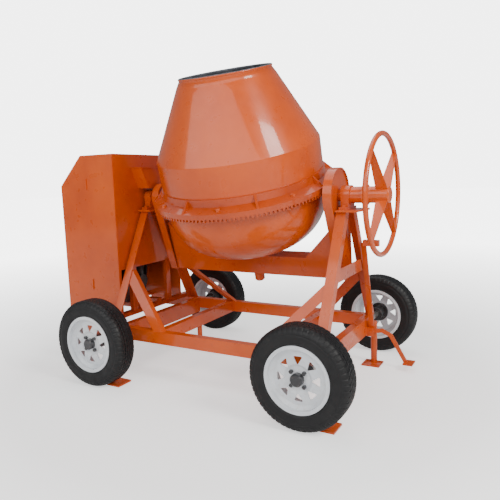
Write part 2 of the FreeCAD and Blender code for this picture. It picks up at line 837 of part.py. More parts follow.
def bowl_curve(radius, depth, steps):
    """Points of the dished bowl from its bottom centre up to its widest ring."""
    points = []
    for step in range(steps + 1):
        angle = math.radians(90 * step / steps)
        points.append(Vector(radius * math.sin(angle) ** 0.86, 0, -depth * math.cos(angle) ** 0.86))
    return points


def bowl_face(radius, depth, top):
    """The filled half profile of the bowl with a short straight collar at its top."""
    curve = Part.BSplineCurve()
    curve.interpolate(bowl_curve(radius, depth, 10))
    side = curve.toShape()
    high = Vector(radius, 0, top)
    edges = [side, Part.makeLine(Vector(radius, 0, 0), high), Part.makeLine(high, Vector(0, 0, top)),
             Part.makeLine(Vector(0, 0, top), Vector(0, 0, -depth))]
    return Part.Face(Part.Wire(edges))


def bowl_solid(radius, depth, top):
    return bowl_face(radius, depth, top).revolve(Vector(0, 0, 0), Z_AXIS, 360)


def make_bowl():
    """The dished bowl with the hub that runs on the spindle."""
    wall = drum_sheet.value
    radius = drum_radius.value
    depth = bowl_depth.value
    top = bowl_joint.value
    low = Vector(0, 0, -depth - hub_skirt.value)
    outer = bowl_solid(radius, depth, top)
    inner = bowl_solid(radius - wall, depth - wall, top + 1)
    hub = Part.makeCylinder(drum_hub_diameter.value / 2, (drum_hub_height + hub_skirt).value, low)
    bore_depth = (drum_hub_height + hub_skirt - drum_hub_cap).value
    bore = Part.makeCylinder((spindle_diameter / 2 + running_gap).value, bore_depth, low)
    shell = outer.cut(inner).fuse(hub).cut(bore).removeSplitter()
    node(shaped(shell, Placement(drum_point, tilt)), "drum_bowl")


def make_cone():
    """Cylinder, cone and rolled mouth, pressed from one sheet."""
    wall = drum_sheet
    lean = (drum_radius - mouth_radius).value / (mouth_height - cone_start).value
    slant = math.sqrt(1 + lean * lean)
    points = [(drum_radius, bowl_joint), (drum_radius, cone_start), (mouth_radius, mouth_height),
              (mouth_radius - wall * slant, mouth_height), (drum_radius - wall, cone_start - wall * lean / 2),
              (drum_radius - wall, bowl_joint)]
    bead = doc.addObject("Part::Torus", "bead")
    bind(bead, "Radius1", mouth_radius - mouth_bead / 4)
    bind(bead, "Radius2", mouth_bead / 2)
    place(bead, 0, 0, mouth_height)
    node(in_drum(group(fuse(turned(points), bead))), "drum_cone")


def make_blades():
    """Three slanted plate blades welded to the inside wall."""
    gap = clear_gap.value
    radius = drum_radius.value - drum_sheet.value - gap
    depth = bowl_depth.value - drum_sheet.value - gap
    room = bowl_solid(radius, depth, blade_top.value)
    reach = blade_reach.value
    blades = []
    for step in range(3):
        plate = Part.makeBox(reach, blade_thickness.value, depth * 2,
                             Vector(radius - reach, -blade_thickness.value / 2, -depth * 0.7))
        plate.rotate(Vector(radius, 0, 0), X_AXIS, blade_slant.value)
        plate.rotate(Vector(0, 0, 0), Z_AXIS, 30 + 120 * step)
        blades.extend(plate.common(room).Solids)
    node(shaped(Part.makeCompound(blades), Placement(drum_point, tilt)), "mixing_blades")


# ---------------------------------------------------------------- ring gear and drive
def tooth_block(height, tip_half, root_half, inner, outer):
    """One tapered tooth that hangs from z=0, its faces across the +X direction."""
    corners = [Vector(inner, -root_half, 0), Vector(inner, root_half, 0),
               Vector(inner, tip_half, -height), Vector(inner, -tip_half, -height)]
    return filled(corners).extrude(Vector(outer - inner, 0, 0))


def ring_profile():
    """The ring's section: collar on the drum, sloping web and flat-faced rim."""
    inner = drum_radius.value + clear_gap.value / 3
    thick = ring_sheet.value
    outer = ring_outer.value
    root = ring_root.value
    rim_top = root + ring_rim_height.value
    collar = inner + thick
    slope_top = rim_top + thick * 2
    return [(inner, ring_collar.value), (collar - thick * 0.3, ring_collar.value), (collar, slope_top), (outer, rim_top),
            (outer, root), (tooth_inner.value, root), (tooth_inner.value, rim_top - thick),
            (collar, slope_top - thick * 1.5), (inner, slope_top - thick * 2)]


def make_ring_gear():
    """A cast ring with ribs on its web and teeth that point down to the pinion."""
    points = [Vector(r, 0, z) for r, z in ring_profile()]
    ring = filled(points).revolve(Vector(0, 0, 0), Z_AXIS, 360)
    half = rib_thickness.value / 2
    start = drum_radius.value + ring_sheet.value * 0.6
    rim_top = (ring_root + ring_rim_height).value
    outer = ring_outer.value
    rib_points = [Vector(start, -half, ring_collar.value), Vector(outer, -half, rim_top + 1),
                  Vector(outer, -half, rim_top - 4), Vector(start, -half, rim_top)]
    rib = filled(rib_points).extrude(Vector(0, half * 2, 0))
    parts = []
    count = int(rib_count.value)
    for step in range(count):
        turned_rib = rib.copy()
        turned_rib.rotate(Vector(0, 0, 0), Z_AXIS, rib_turn.value + 360 * step / count)
        parts.append(turned_rib)
    sink = 1.0
    pitch_half = math.pi * gear_module.value / 4
    tooth = tooth_block(gear_module.value * 2.2 + sink, pitch_half * 0.52, pitch_half * 1.12,
                        tooth_inner.value + 0.5, outer - 0.5)
    tooth.translate(Vector(0, 0, ring_root.value + sink))
    for step in range(int(ring_teeth.value)):
        turned_tooth = tooth.copy()
        turned_tooth.rotate(Vector(0, 0, 0), Z_AXIS, 360 * step / ring_teeth.value)
        parts.append(turned_tooth)
    node(shaped(ring.multiFuse(parts), Placement(drum_point, tilt)), "ring_gear")


def make_ring_bolts():
    """Bolt heads between the ribs, seated on the sloping web."""
    radius = (drum_radius + ring_sheet + ring_outer) / 2
    low = ring_root + ring_rim_height
    web = shaped(filled([Vector(r, 0, z) for r, z in ring_profile()]).revolve(Vector(0, 0, 0), Z_AXIS, 360))
    bolts = []
    count = int(rib_count.value)
    for step in range(count):
        angle = math.radians(rib_turn.value + 360 * (step + 0.5) / count)
        head = hexagon(radius * math.cos(angle), radius * math.sin(angle), low, bolt_head, bolt_head_height * 2.4)
        bolts.append(cut(head, web))
    node(in_drum(group(*bolts)), "ring_bolts")


def make_pinion():
    """A straight-toothed pinion on the shaft, under the ring at its left-hand side."""
    module = gear_module.value
    count = int(pinion_teeth.value)
    width = tooth_width.value
    tip = pinion_radius.value + module * 0.8
    root = pinion_radius.value - module * 1.2
    pitch_half = math.pi * module / 4
    corners = [Vector(root - 1, -pitch_half * 1.1, 0), Vector(tip, -pitch_half * 0.36, 0),
               Vector(tip, pitch_half * 0.36, 0), Vector(root - 1, pitch_half * 1.1, 0)]
    tooth = filled(corners).extrude(Vector(0, 0, width))
    teeth = []
    for step in range(count):
        turned_tooth = tooth.copy()
        turned_tooth.rotate(Vector(0, 0, 0), Z_AXIS, 360 * (step + 0.5) / count)
        teeth.append(turned_tooth)
    bore = Part.makeCylinder((shaft_diameter / 2 + running_gap).value, width + 2, Vector(0, 0, -1))
    gear = Part.makeCylinder(root, width).multiFuse(teeth).cut(bore).removeSplitter()
    start = (drum_offset - ring_outer + tooth_width).value
    turn = tilt.multiply(Rotation(Y_AXIS, -90))
    node(shaped(gear, Placement(Vector(start, 0, trunnion_height.value), turn)), "pinion")


def belt_groove(radius, start):
    """Corner points of a flat belt groove across a pulley's rim, from its near edge."""
    floor = radius - belt_thickness
    lip = groove_lip
    end = start + pulley_width
    return [(radius, start), (radius, start + lip), (floor, start + lip * 2), (floor, end - lip * 2),
            (radius, end - lip), (radius, end)]


def make_drive():
    """The drive shaft through the left trunnion, with the large belt wheel in the housing."""
    near = ring_outer - tooth_width - drum_offset
    far = housing_right + shaft_tail
    shaft = rod(-near, 0, trunnion_height, shaft_diameter, far - near, Rotation(Y_AXIS, -90))
    node(shaft, "drive_shaft")
    start = housing_right + pulley_place
    end = start + pulley_width
    bore = shaft_diameter / 2
    hub = bore + pulley_boss
    rim = pulley_diameter / 2 - pulley_boss
    middle = start + pulley_width / 2
    web = pulley_web / 2
    points = [(bore, start), (hub, start), (hub, middle - web), (rim, middle - web), (rim, start)]
    points += belt_groove(pulley_diameter / 2, start)
    points += [(rim, end), (rim, middle + web), (hub, middle + web), (hub, end), (bore, end)]
    node(place(turned(points), 0, 0, trunnion_height, Rotation(Y_AXIS, -90)), "belt_wheel")


def engine_shaft_height():
    return housing_bottom + bearer_height + crank_height


def engine_face():
    """How far the engine's drum-side face is from the middle."""
    return housing_right + engine_place


def make_engine():
    """Engine on its bed in the housing: crankcase, finned barrel and tank."""
    base = housing_bottom + bearer_height
    face = engine_face()
    half = engine_width / 2
    block = box(-face - engine_length, -half, base, engine_length, engine_width, engine_height)
    fins = []
    pitch = fin_thickness * 2
    barrel = half + fin_count * pitch
    core = box(-face - engine_length * 0.78, -barrel, base + engine_height * 0.4,
               engine_length * 0.56, barrel - half + 1, engine_height * 0.36)
    for step in range(int(fin_count.value)):
        fins.append(box(-face - engine_length * 0.88, -half - pitch * (step + 1), base + engine_height * 0.33,
                        engine_length * 0.76, fin_thickness, engine_height * 0.5))
    tank = box(-face - engine_length * 0.9, -half * 0.8, base + engine_height, engine_length * 0.8,
               engine_width * 0.8, tank_height)
    bore = rod(-face + 1, 0, engine_shaft_height(), crank_diameter + running_gap * 2, crank_depth + 1,
               Rotation(Y_AXIS, -90))
    node(cut(fuse(block, core, tank, *fins), bore), "engine")


def make_engine_bed():
    """Two bearers across the rails, and two bed rails along them under the engine."""
    pieces = []
    left_bearer = rail_left_end
    right_bearer = -housing_right - bearer_inset
    for x in (left_bearer, right_bearer):
        pieces.append(box(x, -rail_outer, rail_top, bearer_width, rail_outer * 2, bearer_height))
    for side in (-1, 1):
        y = side * engine_width * 0.4 - bearer_width / 2
        pieces.append(box(left_bearer - bed_overhang, y, housing_bottom,
                          right_bearer + bearer_width - left_bearer + bed_overhang, bearer_width, bearer_height))
    node(group(*pieces), "engine_bed")


def make_engine_pulley():
    """The engine's small pulley and the crankshaft end that it is keyed to."""
    start = housing_right + pulley_place
    shaft = crank_diameter / 2
    deep = engine_face() + crank_depth
    points = [(0, start), *belt_groove(engine_pulley_diameter / 2, start), (shaft, start + pulley_width), (shaft, deep),
              (0, deep)]
    node(place(turned(points), 0, 0, engine_shaft_height(), Rotation(Y_AXIS, -90)), "engine_pulley")


def belt_loop(extra):
    """The filled outline of a loop round both pulleys, standing off their grooves by an amount."""
    start = -(housing_right + pulley_place + pulley_width / 2 + belt_width / 2).value
    upper = (pulley_diameter / 2 - belt_thickness).value + extra
    lower = (engine_pulley_diameter / 2 - belt_thickness).value + extra
    high = trunnion_height.value
    low = engine_shaft_height().value
    angle = math.asin((upper - lower) / (high - low))

    def side_point(radius, centre, side):
        return Vector(start, side * radius * math.cos(angle), centre - radius * math.sin(angle))

    a, b = side_point(upper, high, -1), side_point(upper, high, 1)
    c, d = side_point(lower, low, 1), side_point(lower, low, -1)
    edges = [Part.Arc(a, Vector(start, 0, high + upper), b).toShape(), Part.makeLine(b, c),
             Part.Arc(c, Vector(start, 0, low - lower), d).toShape(), Part.makeLine(d, a)]
    return Part.Face(Part.Wire(edges)).extrude(Vector(belt_width.value, 0, 0))


def make_belt():
    """A flat belt, a little clear of both pulleys."""
    gap = clear_gap.value
    node(shaped(belt_loop(belt_thickness.value * 0.8 + gap).cut(belt_loop(gap))), "drive_belt")


# ---------------------------------------------------------------- housing
def housing_profile(inset, bottom):
    """The cover's end-on outline with its cut-off corner."""
    left = -housing_right - housing_length + inset
    right = -housing_right - inset
    top = housing_top - inset
    corner = housing_corner - inset * 0.4
    return [(left, bottom), (right, bottom), (right, top), (left + corner, top), (left, top - corner)]


def make_housing():
    """A folded sheet cover with a cut-off corner, a low opening at the drum end and a doorway."""
    body = new_body()
    wall = housing_sheet
    half = housing_width / 2
    pad(body, outline(new_sketch(body, "XZ_Plane"), housing_profile(0, housing_bottom)), housing_width, both_ways=True)
    inner = housing_profile(wall, housing_bottom - 10)
    pocket(body, outline(new_sketch(body, "XZ_Plane"), inner), housing_width - wall * 2, both_ways=True)
    jamb = door_lap
    window = box(-housing_right - 10, -half + jamb, housing_bottom - 1, 20, housing_width - jamb * 2,
                 window_top - housing_bottom + 1)
    doorway = box(-housing_right - housing_seam + jamb, -half - 10, housing_bottom + jamb * 2,
                  housing_seam - jamb * 2, 20, housing_top - housing_bottom - jamb * 4)
    shaft_hole = rod(-housing_right + 10, 0, trunnion_height, shaft_diameter * 1.8, 20, Rotation(Y_AXIS, -90))
    node(cut(body, window, doorway, shaft_hole), "engine_housing")


def make_door():
    """The service door on the front face, with the two hinge barrels on its left edge."""
    half = housing_width / 2
    low = housing_bottom + door_lap
    height = housing_top - housing_bottom - door_lap * 2
    face = -half - clear_gap
    panel = box(-housing_right - housing_seam, face - housing_sheet, low, housing_seam - clear_gap * 10,
                housing_sheet, height)
    barrels = []
    for share in (0.14, 0.8):
        barrels.append(rod(-housing_right - housing_seam, face - hinge_barrel / 2, low + height * share,
                           hinge_barrel, hinge_barrel * 6))
    node(fuse(panel, *barrels), "housing_door")


def make_housing_posts():
    """Two uprights in the low opening, from the bed to the cover's end wall."""
    posts = []
    wall = housing_sheet
    depth = bearer_width * 0.6
    for side in (-1, 1):
        y = side * post_place - bearer_width / 2
        posts.append(box(-housing_right - wall - depth, y, housing_bottom, depth, bearer_width,
                         window_top - housing_bottom + bearer_width))
    node(group(*posts), "housing_posts")


def guard_prism(inset, back, front, low, high):
    """A block that is wide at the top and narrow at the bottom, seen end-on."""
    top = guard_top_half.value - inset
    bottom = guard_bottom_half.value - inset
    corners = [Vector(back, -bottom, low), Vector(back, bottom, low), Vector(back, top, high), Vector(back, -top, high)]
    return filled(corners).extrude(Vector(front - back, 0, 0))


def make_guard():
    """A folded hood over the left bearing, open underneath and closed by a lid with a lip."""
    wall = housing_sheet.value
    back = -housing_right.value
    front = back + guard_reach.value
    low = guard_bottom.value
    high = guard_top.value
    outer = guard_prism(0, back, front, low, high)
    inner = guard_prism(wall, back - 1, front - wall, low - 1, high - wall)
    lip = guard_lip.value
    lid = Part.makeBox(guard_reach.value + lip, guard_top_half.value * 2 + lip * 2, wall,
                       Vector(back, -guard_top_half.value - lip, high))
    node(shaped(outer.cut(inner).fuse(lid).removeSplitter()), "bearing_guard")


# ---------------------------------------------------------------- brake lever and support leg
def lever_pivot():
    """The brake lever's pivot, as numbers."""
    x = wheelbase / 2 + beam_width / 2 + lever_stand
    return x.value, lever_place.value, lever_pivot_height.value


def bar(start, end, half, thick):
    """A flat bar between two points in an XZ plane, centred in Y, with a round far end."""
    along = end - start
    across = Vector(-along.z, 0, along.x).normalize() * half
    shift = Vector(0, -thick / 2, 0)
    corners = [start + across + shift, end + across + shift, end - across + shift, start - across + shift]
    knuckle = Part.makeCylinder(half, thick, end + shift, Y_AXIS)
    return filled(corners).extrude(Vector(0, thick, 0)).fuse(knuckle)


def make_lever():
    """One bent lever: a leaning upright with a brake pad, an arched pedal arm and a tread."""
    x, y, z = lever_pivot()
    pivot = Vector(x, y, z)
    half = lever_width.value / 2
    thick = lever_thickness.value
    top = lever_top_height.value
    shift = lever_top_place.value - y
    low = pivot + Vector(-half, -thick / 2, bracket_height.value / 2)
    section = [low, low + Vector(half * 2, 0, 0), low + Vector(half * 2, thick, 0), low + Vector(0, thick, 0)]
    upright = filled(section).extrude(Vector(0, shift, top - low.z))
    root = Part.makeBox(half * 2, thick, low.z - z, pivot + Vector(-half, -thick / 2, 0))
    eye = Part.makeCylinder(half + eye_wall.value, thick, pivot - Vector(0, thick / 2, 0), Y_AXIS)
    reach = pedal_reach.value
    tread_z = tread_height.value
    bends = [pivot, pivot + Vector(reach * 0.3, 0, arch_rise.value), pivot + Vector(reach * 0.56, 0, -arch_rise.value),
             Vector(x + reach, y, tread_z)]
    pieces = [upright, root, eye]
    for start, end in zip(bends[:-1], bends[1:]):
        pieces.append(bar(start, end, half * 0.75, thick))
    length = tread_length.value
    width = tread_width.value
    pieces.append(Part.makeBox(width, length, thick * 0.6, Vector(x + reach - thick, y - length / 2, tread_z)))
    pad_reach = (wheel_place - wheel_tube / 2 - brake_travel).value - x
    pad_half = brake_pad.value / 2
    pieces.append(Part.makeBox(pad_reach, pad_half * 2, pad_half * 2, Vector(x, y + shift - pad_half, top - pad_half)))
    bore = Part.makeCylinder((pivot_diameter / 2 + running_gap).value, thick * 4, pivot - Vector(0, thick * 2, 0), Y_AXIS)
    node(shaped(upright.multiFuse(pieces[1:]).cut(bore).removeSplitter()), "brake_lever")


def make_lever_bracket():
    """Two cheeks on the end beam and the pin through them that carries the lever."""
    face = wheelbase / 2 + beam_width / 2
    cheek = plate_thickness
    gap = lever_thickness / 2 + clear_gap
    low = lever_pivot_height - bracket_height / 2
    reach = lever_stand + lever_width / 2 + eye_wall
    pin_half = gap + cheek + clear_gap * 30
    pin_x = face + lever_stand
    pieces = []
    for y in (lever_place - gap - cheek, lever_place + gap):
        plate = box(face, y, low, reach, cheek, bracket_height)
        bore = rod(pin_x, y - 1, lever_pivot_height, pivot_diameter, cheek + 2, Rotation(X_AXIS, -90))
        pieces.append(cut(plate, bore))
    pieces.append(rod(pin_x, lever_place - pin_half, lever_pivot_height, pivot_diameter, pin_half * 2,
                      Rotation(X_AXIS, -90)))
    node(group(*pieces), "lever_bracket")


def make_leg():
    """A fixed parking leg with a square foot, on the end beam beside the pedal."""
    face = wheelbase / 2 + beam_width / 2
    radius = leg_diameter / 2
    x = face + radius + leg_gap
    y = lever_place + leg_spacing
    low = rail_top - beam_height
    post = rod(x, y, foot_thickness, leg_diameter, rail_top - foot_thickness * 5)
    plate = box(x - foot_length / 2, y - foot_length * 0.8, 0, foot_length, foot_length, foot_thickness)
    lug = box(face, y - radius * 0.8, low, radius + leg_gap, radius * 1.6, beam_height * 0.7)
    node(fuse(post, plate, lug), "support_leg")


def make_chocks():
    """Flat chock plates that touch the front tyres' treads and reach inwards past them."""
    chocks = []
    radius = tyre_diameter.value / 2
    height = chock_height.value
    reach = math.sqrt(radius ** 2 - (radius - height) ** 2) + clear_gap.value
    for side in (-1, 1):
        x = side * wheelbase / 2 + reach
        chocks.append(box(x, -track / 2, 0, chock_length, chock_width, chock_height))
    node(group(*chocks), "wheel_chocks")


# ---------------------------------------------------------------- wheels
def tyre_points():
    """The tyre's section: tread, shoulders, bulging sidewalls, beads and the hollow inside."""
    r = tyre_diameter / 2
    bead = rim_diameter / 2 - bead_seat
    half = tyre_width / 2
    wall = tyre_wall
    seat = rim_width / 2 - rim_sheet - clear_gap
    flange = rim_diameter / 2 + clear_gap
    outside = [(bead, -seat), (flange, -seat), (flange + 10, -half + 6), (r - 50, -half), (r - 22, -half + 5),
               (r - 6, -half + 16), (r, -half + 30)]
    inside = [(bead, seat - wall), (flange + 4, seat - wall),
              (r - 52, half - wall), (r - 26, half - wall - 6), (r - wall, half - 34)]
    return outside + [(a, -b) for a, b in reversed(outside)] + inside + [(a, -b) for a, b in reversed(inside)]


def disc_face():
    """The height of the wheel disc's mounting face above the wheel's middle plane."""
    return rim_width / 2 - disc_depth


def make_rim():
    """Pressed wheel: barrel with flanges, dished disc with eight triangular windows."""
    r = rim_diameter / 2
    t = rim_sheet
    half = rim_width / 2
    seat = r - bead_seat - clear_gap
    well = seat - well_depth
    face = disc_face()
    hub = hub_diameter / 2
    bore = centre_bore / 2
    points = [(bore, face - t), (hub, face - t), (hub + 14, face - t + 8), (well - t * 2, face - t - 4),
              (well - t, face - 26), (well - t, -6), (seat - t, -26), (seat - t, -half), (r, -half), (r, -half + t),
              (seat, -half + t), (seat, -26 + t / 2), (well, -6 + t / 2), (well, face - 16), (seat, face - 2),
              (seat, half - t), (r, half - t), (r, half), (seat - t, half), (seat - t, face + 8),
              (well - t * 2, face - 4), (hub + 14, face + 8), (hub, face), (bore, face)]
    body = turned(points)
    half_angle = math.radians(180 / window_count.value * window_share.value)
    wide = window_outer * math.sin(half_angle)
    high = window_outer * math.cos(half_angle)
    corner = t
    window = outline(new_sketch(body, "XY_Plane"),
                     [(window_inner, -corner / 2), (high - corner, -wide), (high, -wide + corner), (high, wide - corner),
                      (high - corner, wide), (window_inner, corner / 2)])
    cutter = pocket(body, window, rim_width * 2, both_ways=True)
    polar(body, cutter, window_count)
    return body


def make_hub():
    """A hub barrel on the axle with its flange behind the disc, a dust cap and four lug nuts."""
    face = disc_face()
    flange_face = face - rim_sheet - clear_gap
    barrel = hub_diameter / 2 - hub_step
    bore = axle_diameter / 2 + running_gap
    nose = centre_bore / 2 - clear_gap
    flange = hub_diameter / 2
    back = -rim_width / 2
    points = [(bore, back), (barrel, back), (barrel, flange_face - hub_step), (flange, flange_face - hub_step),
              (flange, flange_face), (nose, flange_face), (nose, face), (bore, face)]
    barrel_body = turned(points)
    r = cap_diameter / 2
    end = axle_end_gap
    cap = turned([(0, face + cap_height - end), (bore, face + cap_height - end), (bore, face), (r, face),
                  (r, face + cap_height - end), (r - end, face + cap_height), (0, face + cap_height)])
    nuts = []
    for step in range(4):
        angle = math.radians(45 + 90 * step)
        nuts.append(hexagon(lug_circle / 2 * math.cos(angle), lug_circle / 2 * math.sin(angle), face + clear_gap / 3,
                            lug_size, lug_size * 0.8))
    return group(barrel_body, cap, *nuts)


def make_wheels():
    """Four wheels; each local Z axis points outwards."""
    for x_side, end in ((-1, "left"), (1, "right")):
        for y_side, side in ((-1, "front"), (1, "rear")):
            turn = Rotation(X_AXIS, -90 * y_side)
            centre = (x_side * wheelbase / 2, y_side * track / 2, axle_height)
            node(place(turned(tyre_points()), *centre, turn), f"{side}_{end}_tyre")
            node(place(make_rim(), *centre, turn), f"{side}_{end}_rim")
            node(place(make_hub(), *centre, turn), f"{side}_{end}_hub")


# ---------------------------------------------------------------- build
def build():
    for make in (make_rails, make_axle_beams, make_cross_members, make_posts, make_crossbar, make_braces,
                 make_head_plates, make_bearings, make_bearing_bolts, make_arms, make_yoke_beam, make_spindle,
                 make_trunnions, make_handwheel, make_bowl, make_cone, make_blades, make_ring_gear, make_ring_bolts,
                 make_pinion, make_drive, make_engine, make_engine_bed, make_engine_pulley, make_belt, make_housing,
                 make_door, make_housing_posts, make_guard, make_lever, make_lever_bracket, make_leg, make_chocks,
                 make_wheels):
        make()


def check_and_write():
    """Stops on any failed object, then writes one STEP file for each sub-part."""
    doc.recompute()
    for thing in doc.Objects:
        if "Invalid" in thing.State or "Error" in thing.State:
            raise RuntimeError(f"{thing.Label} failed: {thing.State}")
    os.makedirs("parts", exist_ok=True)
    for thing in nodes:
        shape = thing.Shape
        if shape.isNull() or not shape.isValid() or not shape.Solids:
            raise RuntimeError(f"{thing.Label} has no valid shape")
        shape.exportStep(f"parts/{thing.Label}.step")
        print(f"{thing.Label:24s} solids {len(shape.Solids):3d}  volume {shape.Volume / 1000:10.1f} cm3")


build()
check_and_write()
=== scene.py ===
import json
import math
import bpy
from mathutils import Matrix, Vector


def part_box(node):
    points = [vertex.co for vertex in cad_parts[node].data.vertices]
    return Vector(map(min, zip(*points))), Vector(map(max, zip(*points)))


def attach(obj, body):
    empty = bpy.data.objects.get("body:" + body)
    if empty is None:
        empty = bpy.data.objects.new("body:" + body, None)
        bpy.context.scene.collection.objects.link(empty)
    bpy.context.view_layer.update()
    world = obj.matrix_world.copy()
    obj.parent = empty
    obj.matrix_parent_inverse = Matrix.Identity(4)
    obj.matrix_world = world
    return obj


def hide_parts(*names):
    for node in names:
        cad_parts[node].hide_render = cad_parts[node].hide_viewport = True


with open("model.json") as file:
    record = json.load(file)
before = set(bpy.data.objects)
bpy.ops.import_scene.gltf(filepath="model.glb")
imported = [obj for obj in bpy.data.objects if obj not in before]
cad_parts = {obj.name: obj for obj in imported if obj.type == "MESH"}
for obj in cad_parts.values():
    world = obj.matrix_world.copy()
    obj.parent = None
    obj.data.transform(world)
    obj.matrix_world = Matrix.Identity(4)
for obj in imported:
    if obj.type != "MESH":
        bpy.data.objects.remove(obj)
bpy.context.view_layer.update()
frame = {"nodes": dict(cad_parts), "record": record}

TURN = 2 * math.pi

# ---------------------------------------------------------------- places, all in metres
LEAN = math.radians(15.5)
DRUM_POINT = Vector((0.03, 0, 1.155))
DRUM_X = Vector((1, 0, 0))
DRUM_Y = Vector((0, math.cos(LEAN), math.sin(LEAN)))
DRUM_AXIS = Vector((0, -math.sin(LEAN), math.cos(LEAN)))
WHEELS = {"front_left": (-1, -1), "rear_left": (-1, 1), "front_right": (1, -1), "rear_right": (1, 1)}


# ---------------------------------------------------------------- shader helpers
class Shader:
    """A node material under construction, with object coordinates as its only texture space."""

    def __init__(self, name):
        self.material = bpy.data.materials.new(name)
        self.material.use_nodes = True
        self.tree = self.material.node_tree
        self.tree.nodes.clear()
        self.surface = self.add("ShaderNodeBsdfPrincipled")
        output = self.add("ShaderNodeOutputMaterial")
        self.link(self.surface.outputs[0], output.inputs["Surface"])
        self.space = self.add("ShaderNodeTexCoord").outputs["Object"]

    def add(self, kind, **settings):
        made = self.tree.nodes.new(kind)
        for key, value in settings.items():
            setattr(made, key, value)
        return made

    def link(self, source, target):
        self.tree.links.new(source, target)

    def put(self, **values):
        for key, value in values.items():
            self.surface.inputs[key.replace("_", " ")].default_value = value

    def noise(self, scale, detail=4, rough=0.55, stretch=None):
        made = self.add("ShaderNodeTexNoise")
        made.inputs["Scale"].default_value = scale
        made.inputs["Detail"].default_value = detail
        made.inputs["Roughness"].default_value = rough
        self.link(self.stretched(stretch), made.inputs["Vector"])
        return made.outputs[0]

    def stretched(self, stretch):
        if stretch is None:
            return self.space
        made = self.add("ShaderNodeMapping")
        made.inputs["Scale"].default_value = stretch
        self.link(self.space, made.inputs["Vector"])
        return made.outputs[0]

    def ramp(self, source, stops):
        made = self.add("ShaderNodeValToRGB")
        points = made.color_ramp.elements
        points[0].position, points[0].color = stops[0][0], (*stops[0][1], 1)
        points[1].position, points[1].color = stops[-1][0], (*stops[-1][1], 1)
        for place, color in stops[1:-1]:
            point = points.new(place)
            point.color = (*color, 1)
        self.link(source, made.inputs[0])
        return made.outputs[0]

    def span(self, source, low, high, start=0.3, end=0.7):
        made = self.add("ShaderNodeMapRange")
        made.inputs["From Min"].default_value = start
        made.inputs["From Max"].default_value = end
        made.inputs["To Min"].default_value = low
        made.inputs["To Max"].default_value = high
        self.link(source, made.inputs["Value"])
        return made.outputs[0]

    def mix(self, factor, first, second):
        made = self.add("ShaderNodeMix", data_type="RGBA")
        self.link(factor, made.inputs[0])
        for index, value in ((6, first), (7, second)):
            self.link(value, made.inputs[index])
        return made.outputs[2]

    def height(self):
        made = self.add("ShaderNodeSeparateXYZ")
        self.link(self.space, made.inputs[0])
        return made.outputs[2]

    def times(self, first, second):
        made = self.add("ShaderNodeMath", operation="MULTIPLY")
        self.link(first, made.inputs[0])
        self.link(second, made.inputs[1])
        return made.outputs[0]

    def bump(self, source, strength, distance, below=None):
        made = self.add("ShaderNodeBump")
        made.inputs["Strength"].default_value = strength
        made.inputs["Distance"].default_value = distance
        self.link(source, made.inputs["Height"])
        if below is not None:
            self.link(below, made.inputs["Normal"])
        return made.outputs[0]

    def finish(self, color, roughness, normal):
        self.link(color, self.surface.inputs["Base Color"])
        self.link(roughness, self.surface.inputs["Roughness"])
        self.link(normal, self.surface.inputs["Normal"])
        return self.material


def enamel(name, tones, dust, cast=False):
    """Brushed or sprayed gloss enamel: slight waviness, orange peel, thin places and site dust low down."""
    s = Shader(name)
    cloud = s.noise(2.3, 5, 0.6)
    color = s.ramp(cloud, [(0.3, tones[0]), (0.52, tones[1]), (0.72, tones[2])])
    speck = s.noise(46, 6, 0.7)
    low = s.span(s.height(), 1.0, 0.12, 0.05, 0.75)
    patch = s.times(s.span(speck, 0.0, 0.55, 0.52, 0.78), low)
    dusty = s.ramp(s.noise(9, 3), [(0.3, dust), (0.7, tuple(min(1, v * 1.35) for v in dust))])
    color = s.mix(patch, color, dusty)
    roughness = s.span(s.noise(14, 4), 0.24, 0.42)
    grain = s.noise(95 if cast else 420, 3, 0.5)
    wave = s.bump(s.noise(5.5, 2, 0.4), 0.18, 0.004)
    normal = s.bump(grain, 0.35 if cast else 0.1, 0.0012 if cast else 0.0004, wave)
    s.put(Coat_Weight=0.6, Coat_Roughness=0.07, Coat_IOR=1.5, Specular_IOR_Level=0.35)
    return s.finish(color, roughness, normal)


def metal(name, tones, rough, stretch=None, metallic=0.9, bump=0.15):
    """Bare or oxidised metal with streaks and stains."""
    s = Shader(name)
    color = s.ramp(s.noise(18, 6, 0.65, stretch), [(0.3, tones[0]), (0.55, tones[1]), (0.75, tones[2])])
    roughness = s.span(s.noise(32, 4, 0.6, stretch), rough[0], rough[1])
    normal = s.bump(s.noise(150, 4, 0.6, stretch), bump, 0.001)
    s.put(Metallic=metallic)
    return s.finish(color, roughness, normal)


def rubber(name, tones, grain=260):
    """Moulded rubber with bloom and ground-in dust."""
    s = Shader(name)
    color = s.ramp(s.noise(7, 6, 0.7), [(0.32, tones[0]), (0.55, tones[1]), (0.78, tones[2])])
    roughness = s.span(s.noise(22, 4), 0.38, 0.62)
    normal = s.bump(s.noise(grain, 4, 0.6), 0.25, 0.0006)
    s.put(Specular_IOR_Level=0.4)
    return s.finish(color, roughness, normal)


